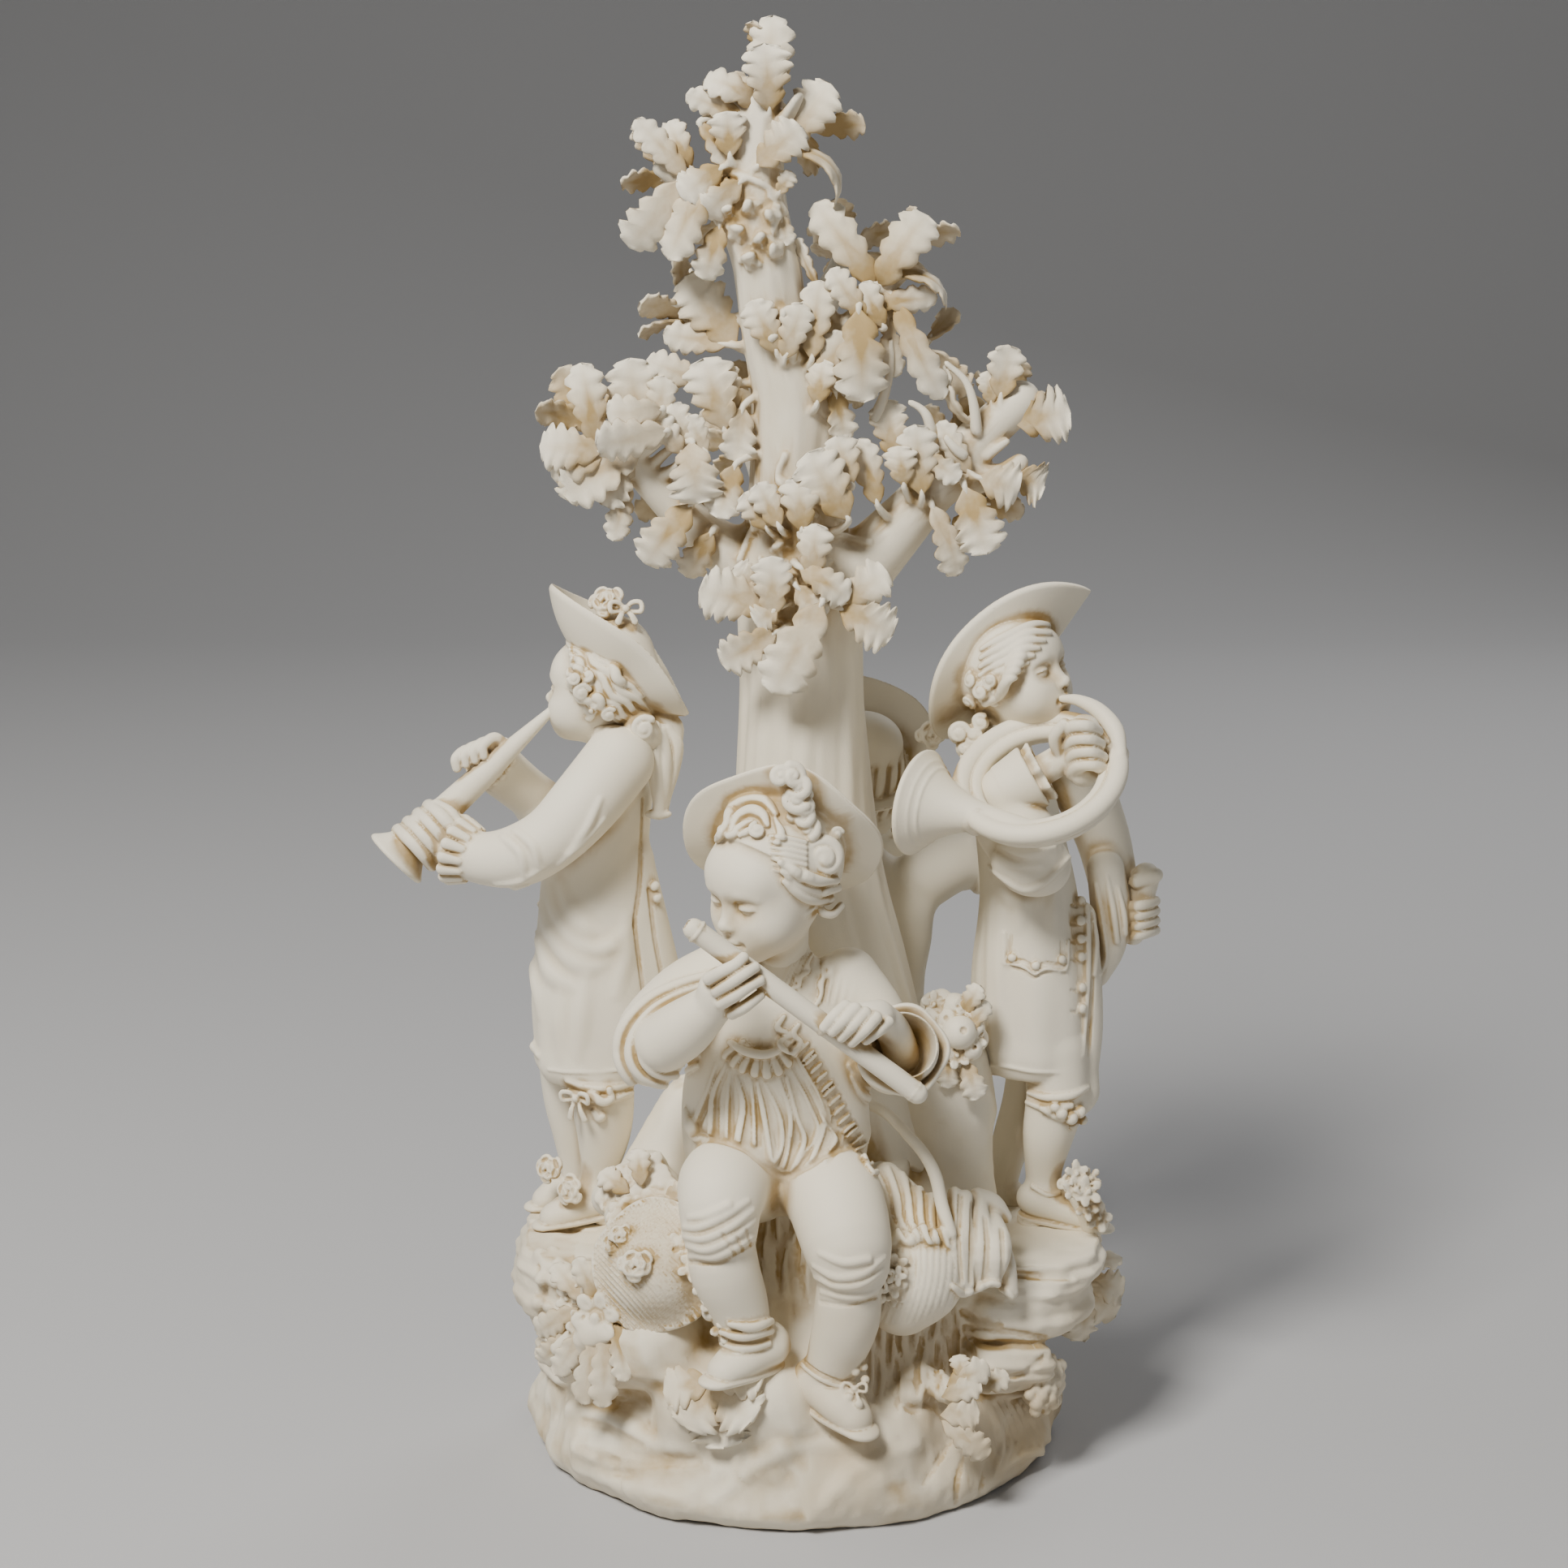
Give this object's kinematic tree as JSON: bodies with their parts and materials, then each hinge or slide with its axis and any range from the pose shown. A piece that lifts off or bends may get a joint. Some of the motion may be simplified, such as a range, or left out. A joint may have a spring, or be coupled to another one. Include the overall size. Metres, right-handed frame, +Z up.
{
  "type": "bisque figure group",
  "caption": "Unglazed porcelain group of four young musicians in hats and coats round an oak tree on a rocky flowered plinth.",
  "frame": {"origin": "centre of the flat underside of the plinth", "axes": "+Z up through the tree, -Y towards the seated flute player at the front, +X towards the horn player"},
  "size_m": [0.2093, 0.1465, 0.3779],
  "materials": {
    "bisque": "matt unglazed porcelain"
  },
  "bodies": {
    "root": {"figure_group": "bisque"}
  },
  "joints": []
}
